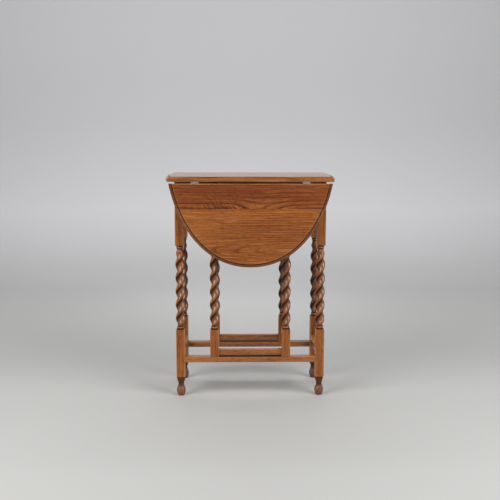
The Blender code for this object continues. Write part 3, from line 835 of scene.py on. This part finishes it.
def cut_pockets(piece, boxes):
    """Cut box-shaped hinge pockets out of a board."""
    bm = bmesh.new()
    for low, high in boxes:
        size = high - low
        matrix = Matrix.Translation((low + high) / 2) @ Matrix.Diagonal((*size, 1))
        bmesh.ops.create_cube(bm, size=1, matrix=matrix)
    mesh = bpy.data.meshes.new("pockets")
    bm.to_mesh(mesh)
    bm.free()
    cutter = bpy.data.objects.new("pockets", mesh)
    bpy.context.scene.collection.objects.link(cutter)
    modifier = piece.modifiers.new("pockets", "BOOLEAN")
    modifier.operation = "DIFFERENCE"
    modifier.solver = "EXACT"
    modifier.object = cutter
    evaluated = piece.evaluated_get(bpy.context.evaluated_depsgraph_get())
    cut = bpy.data.meshes.new_from_object(evaluated)
    piece.modifiers.clear()
    piece.data = cut
    bpy.data.objects.remove(cutter)


def dress_leaf(node, turn, material):
    """A hanging leaf with two hinge pockets in its inner face."""
    piece = new_piece(f"moulded_{node}", lofted(leaf_rings(turn)), material, 40)
    rotation = Matrix.Rotation(turn, 3, "Z")
    boxes = []
    for side in (-1, 1):
        x = side * HINGE_X
        bottom = -HINGE_Y - HINGE_DROP - POCKET_DEPTH
        near = rotation @ Vector((x - POCKET_HALF, -HINGE_Y, HINGE_Z - POCKET_REACH))
        far = rotation @ Vector((x + POCKET_HALF, bottom, HINGE_Z + POCKET_SPARE))
        boxes.append((Vector(map(min, near, far)), Vector(map(max, near, far))))
    cut_pockets(piece, boxes)
    dress(piece, node)


def dress_panel(node, material):
    """The fixed panel with four hinge pockets in its underside."""
    piece = new_piece(f"moulded_{node}", lofted(panel_rings()), material, 40)
    boxes = []
    for side in (-1, 1):
        for front in (-1, 1):
            near, far = sorted((front * (HINGE_Y - POCKET_REACH), front * (HINGE_Y + POCKET_SPARE)))
            low = Vector((side * HINGE_X - POCKET_HALF, near, UNDERSIDE - POCKET_SPARE))
            high = Vector((side * HINGE_X + POCKET_HALF, far, UNDERSIDE + POCKET_DEPTH))
            boxes.append((low, high))
    cut_pockets(piece, boxes)
    dress(piece, node)


# Rails
def dress_rail(node, axis, material, under=0):
    """A copy of a rail with its long arrises eased, darkened and dulled by painted shade.

    That is the inner face of an end rail, and as far as under on top of a rail that a gate lies over.
    """
    bm = bmesh.new()
    bm.from_mesh(frame["nodes"][node].data)
    bmesh.ops.remove_doubles(bm, verts=bm.verts, dist=MERGE_COPY)
    bmesh.ops.dissolve_limit(bm, angle_limit=math.radians(1), verts=bm.verts, edges=bm.edges)
    wear = bm.loops.layers.float.new("edge")
    longest = []
    for edge in bm.edges:
        along = edge.verts[1].co - edge.verts[0].co
        if abs(along[axis]) > LEAST_EDGE and edge.calc_face_angle(0) > 1:
            longest.append(edge)
    eased = bmesh.ops.bevel(
        bm,
        geom=longest,
        offset=ARRIS,
        offset_type="OFFSET",
        affect="EDGES",
        segments=3,
        profile=0.5,
        material=-1,
        clamp_overlap=True,
    )
    for face in eased["faces"]:
        for loop in face.loops:
            loop[wear] = 1
    darkened = bm.loops.layers.float.new("groove")
    if under:
        for place in (-under, under):
            whole = bm.verts[:] + bm.edges[:] + bm.faces[:]
            bmesh.ops.bisect_plane(bm, geom=whole, plane_co=(place, 0, 0), plane_no=(1, 0, 0))
    # Painted shade: in full on top under a gate, in part on the inner face of an end rail
    for face in bm.faces:
        across = face.calc_center_median().x
        shaded_under_gate = face.normal.z > 0.9 and abs(across) < under
        shaded_inner = axis == 1 and face.normal.x * math.copysign(1, across) < -0.5
        for loop in face.loops:
            loop[darkened] = 1 if shaded_under_gate else INNER_PAINTED_SHADE if shaded_inner else 0
    piece = new_piece(f"eased_{node}", bm, material)
    dress(piece, node)


# Screws
def dress_flap(node, places, seat):
    """Slotted screw heads, a little proud of the face of a hinge flap that shows."""
    bm = bmesh.new()
    groove = bm.verts.layers.float.new("groove")
    for (across, along), turn in zip(places, SCREW_TURNS):
        made = bmesh.ops.create_cone(
            bm,
            cap_ends=True,
            segments=24,
            radius1=SCREW_RADIUS,
            radius2=SCREW_RADIUS * SCREW_TAPER,
            depth=2 * SCREW_PROUD,
        )["verts"]
        for side in (-SLOT_HALF, SLOT_HALF):
            faces = {face for vert in made for face in vert.link_faces}
            edges = {edge for vert in made for edge in vert.link_edges}
            cut = bmesh.ops.bisect_plane(
                bm, geom=made + list(edges) + list(faces), plane_co=(0, side, 0), plane_no=(0, 1, 0)
            )["geom"]
            made = [item for item in cut if isinstance(item, bmesh.types.BMVert)]
        faces = {face for vert in made for face in vert.link_faces}
        strip = [f for f in faces if f.normal.z > 0.9 and abs(f.calc_center_median().y) < SLOT_HALF]
        sunk = bmesh.ops.extrude_discrete_faces(bm, faces=strip)["faces"]
        floor = {vert for face in sunk for vert in face.verts}
        bmesh.ops.translate(bm, vec=(0, 0, -SLOT_DEPTH), verts=list(floor))
        for vert in floor:
            vert[groove] = 1
        whole = list({v for f in faces | set(sunk) if f.is_valid for v in f.verts} | floor)
        spot = Matrix.Translation((across, along, 0))
        spin = Matrix.Rotation(math.radians(turn), 4, "Z")
        bmesh.ops.transform(bm, matrix=seat @ spot @ spin, verts=whole)
    piece = new_piece(f"screws_{node}", bm, HINGE_STEEL)
    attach(piece, frame["nodes"][node]["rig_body"])


# Oak tones from dark to light, the rear ones darker as painted shade, and the turns that bring a piece's
# grain to X
POST_TONES = ("80471a", "9b581f", "b56f2c")
SHADED_REAR_POST_TONES = ("673814", "7e4719", "955a23")
RAIL_TONES = ("8a4e1d", "a76328", "c17a37")
SHADED_REAR_RAIL_TONES = ("723f17", "8b5120", "a2652c")
LEAF_TONES = ("86491b", "9b5822", "ab6629")
PANEL_TONES = ("7b441a", "9b5e2a", "b3783b")
UPRIGHT = (0, math.pi / 2, 0)
ALONG = (0, 0, 0)
ACROSS = (0, 0, math.pi / 2)
OAK_POST = varnished_oak(
    "varnished_oak_turned", UPRIGHT, POST_TONES, gloss=0.3, polish=0.85, thin="b8b8b8"
)
# The rear posts and rails take the same oak darker, as painted shade
OAK_REAR_POST_SHADED = varnished_oak(
    "varnished_oak_turned_rear_painted_shade", UPRIGHT, SHADED_REAR_POST_TONES, gloss=0.3, polish=0.85, thin="b8b8b8"
)
OAK_RAIL = varnished_oak("varnished_oak_rails", ALONG, RAIL_TONES, gloss=0.13)
OAK_REAR_RAIL_SHADED = varnished_oak("varnished_oak_rails_rear_painted_shade", ALONG, SHADED_REAR_RAIL_TONES, gloss=0.13)
OAK_END_RAIL = varnished_oak("varnished_oak_end_rails", ACROSS, RAIL_TONES, gloss=0.13)
OAK_FRONT_LEAF = varnished_oak(
    "varnished_oak_front_leaf",
    ALONG,
    LEAF_TONES,
    gloss=0.13,
    polish=0.5,
    open_grain=0.45,
    leaf=FRONT_FIGURE,
)
OAK_REAR_LEAF = varnished_oak(
    "varnished_oak_rear_leaf",
    ALONG,
    LEAF_TONES,
    gloss=0.13,
    polish=0.5,
    open_grain=0.45,
    shift=(0.7, 0, 0.4),
    leaf=REAR_FIGURE,
)
OAK_PANEL = varnished_oak(
    "varnished_oak_panel",
    ALONG,
    PANEL_TONES,
    gloss=0.1,
    polish=0.6,
    open_grain=0.4,
    shift=(0.2, 0.3, 0.1),
)
SOFTWOOD = bare_softwood("bare_pine")
HINGE_STEEL = dulled_steel("pressed_steel", ("8f8c86", "bdbab3"), 0.4)
PIN_STEEL = dulled_steel("drawn_steel", ("6d6a66", "8c8984"), 0.45)

for label, front, post, rail_oak in (
    ("front", -1, OAK_POST, OAK_RAIL),
    ("rear", 1, OAK_REAR_POST_SHADED, OAK_REAR_RAIL_SHADED),
):
    for end in ("left", "right"):
        dress_post(f"leg_{label}_{end}", post, FOOT_HEIGHT, POST_TOP, True)
    dress_post(f"gate_pivot_post_{label}", post, GATE_BOTTOM, LAP_BOTTOM, False)
    dress_post(f"gate_fly_post_{label}", post, GATE_BOTTOM, LAP_BOTTOM, False, front)
    for rail in ("apron", "gate_lower_rail", "gate_upper_rail"):
        dress_rail(f"{rail}_{label}", 0, rail_oak)
    # The stretchers get painted shade on top where the gate lies over them
    dress_rail(f"stretcher_{label}", 0, rail_oak, GATE_HALF)
for end in ("left", "right"):
    for rail in ("apron", "stretcher"):
        dress_rail(f"{rail}_{end}", 1, OAK_END_RAIL)

dress_leaf("leaf_front", 0, OAK_FRONT_LEAF)
dress_leaf("leaf_rear", math.pi, OAK_REAR_LEAF)
dress_panel("top_panel", OAK_PANEL)

# The rear hinges are the front ones turned half round
for label, about, left in (("front", 0, -1), ("rear", math.pi, 1)):
    turned = Matrix.Rotation(about, 4, "Z")
    for end, side in (("left", left), ("right", -left)):
        down = Matrix.Translation((side * HINGE_X, -HINGE_Y, UNDERSIDE))
        down @= Matrix.Rotation(math.pi, 4, "Y")
        inward = Matrix.Translation((side * HINGE_X, -HINGE_Y - HINGE_DROP, HINGE_Z))
        inward @= Matrix.Rotation(-math.pi / 2, 4, "X")
        dress_flap(f"hinge_plate_{label}_{end}", PLATE_SCREWS, turned @ down)
        dress_flap(f"hinge_flap_{label}_{end}", FLAP_SCREWS, turned @ inward)

# Nodes that no piece replaces: pins, hinge flaps and glue blocks
for name, node in frame["nodes"].items():
    if node.hide_render:
        continue
    node.data.materials.clear()
    if "pin" in name:
        node.data.materials.append(PIN_STEEL)
    elif "hinge" in name:
        node.data.materials.append(HINGE_STEEL)
    else:
        node.data.materials.append(SOFTWOOD)


# Studio
def backdrop_sheet():
    """A floor that sweeps up into a wall, drawn as one side of the paper and extruded across."""
    bm = bmesh.new()
    side = [bm.verts.new((-PAPER_HALF, y, 0)) for y in (FLOOR_FRONT, FLOOR_BACK)]
    bm.edges.new(side)
    swept = bmesh.ops.spin(
        bm,
        geom=[side[1]],
        cent=(-PAPER_HALF, FLOOR_BACK, SWEEP_RADIUS),
        axis=(1, 0, 0),
        angle=math.pi / 2,
        steps=16,
    )["geom_last"]
    last = [item for item in swept if isinstance(item, bmesh.types.BMVert)]
    top = bmesh.ops.extrude_vert_indiv(bm, verts=last)["verts"]
    bmesh.ops.translate(bm, vec=(0, 0, WALL_HEIGHT), verts=top)
    wide = bmesh.ops.extrude_edge_only(bm, edges=bm.edges)["geom"]
    across = [item for item in wide if isinstance(item, bmesh.types.BMVert)]
    bmesh.ops.translate(bm, vec=(2 * PAPER_HALF, 0, 0), verts=across)
    return bm


def softbox(name, place, target, size, power, spread=180):
    """A rectangular lamp; lengths in metres, power in watts, spread in degrees."""
    lamp = bpy.data.lights.new(name, "AREA")
    lamp.shape = "RECTANGLE"
    lamp.size, lamp.size_y = size
    lamp.energy = power
    lamp.spread = math.radians(spread)
    holder = bpy.data.objects.new(name, lamp)
    holder.location = place
    aim = Vector(target) - Vector(place)
    holder.rotation_euler = aim.to_track_quat("-Z", "Y").to_euler()
    bpy.context.scene.collection.objects.link(holder)


backdrop = new_piece("backdrop", backdrop_sheet(), studio_paper("studio_paper"))
# Two softboxes in front, a strip over the wall, one behind the table and a small one on the floor behind it
softbox("softbox_left", (-1.75, -1.35, 1.8), (0, 0, 0.3), (1.6, 1.6), 55)
softbox("softbox_right", (1.75, -1.35, 1.8), (0, 0, 0.3), (1.6, 1.6), 55)
softbox("softbox_wall", (0, 1.4, 2.8), (0, 2.7, 0.1), (8, 0.5), 60)
softbox("softbox_rear", (0, 2.3, 2.6), (0, 0, 0.4), (2.4, 0.8), 14)
softbox("softbox_floor", (0, 1.35, 2.2), (0, 1.36, 0), (0.5, 0.5), 0.7, 45)

world = bpy.data.worlds.new("studio")
bpy.context.scene.world = world
world.use_nodes = True
room = world.node_tree
room.nodes.clear()
# The room looks pale to the camera and in the varnish, and gives little light of its own
level = add(
    room, "ShaderNodeMapRange", {"Value": shows_room(room), "To Min": ROOM_LIGHT, "To Max": ROOM_LEVEL}
)
sky = add(room, "ShaderNodeBackground", {"Color": "ffffff", "Strength": level})
add(room, "ShaderNodeOutputWorld", {"Surface": sky})

camera = bpy.data.cameras.new("camera")
camera.sensor_width = SENSOR_WIDTH
camera.lens = FOCAL_PIXELS / PHOTO_PIXELS * SENSOR_WIDTH
viewer = bpy.data.objects.new("camera", camera)
bpy.context.scene.collection.objects.link(viewer)
viewer.location = (
    -VIEW_DISTANCE * math.sin(VIEW_TURN),
    -VIEW_DISTANCE * math.cos(VIEW_TURN),
    VIEW_HEIGHT,
)
heading = VIEW_TURN + VIEW_ASIDE
turn = Matrix.Rotation(-heading, 3, "Z") @ Matrix.Rotation(math.pi / 2 - VIEW_PITCH, 3, "X")
viewer.rotation_euler = (turn @ Matrix.Rotation(VIEW_ROLL, 3, "Z")).to_euler()
bpy.context.scene.camera = viewer
bpy.context.scene.view_settings.view_transform = "Standard"
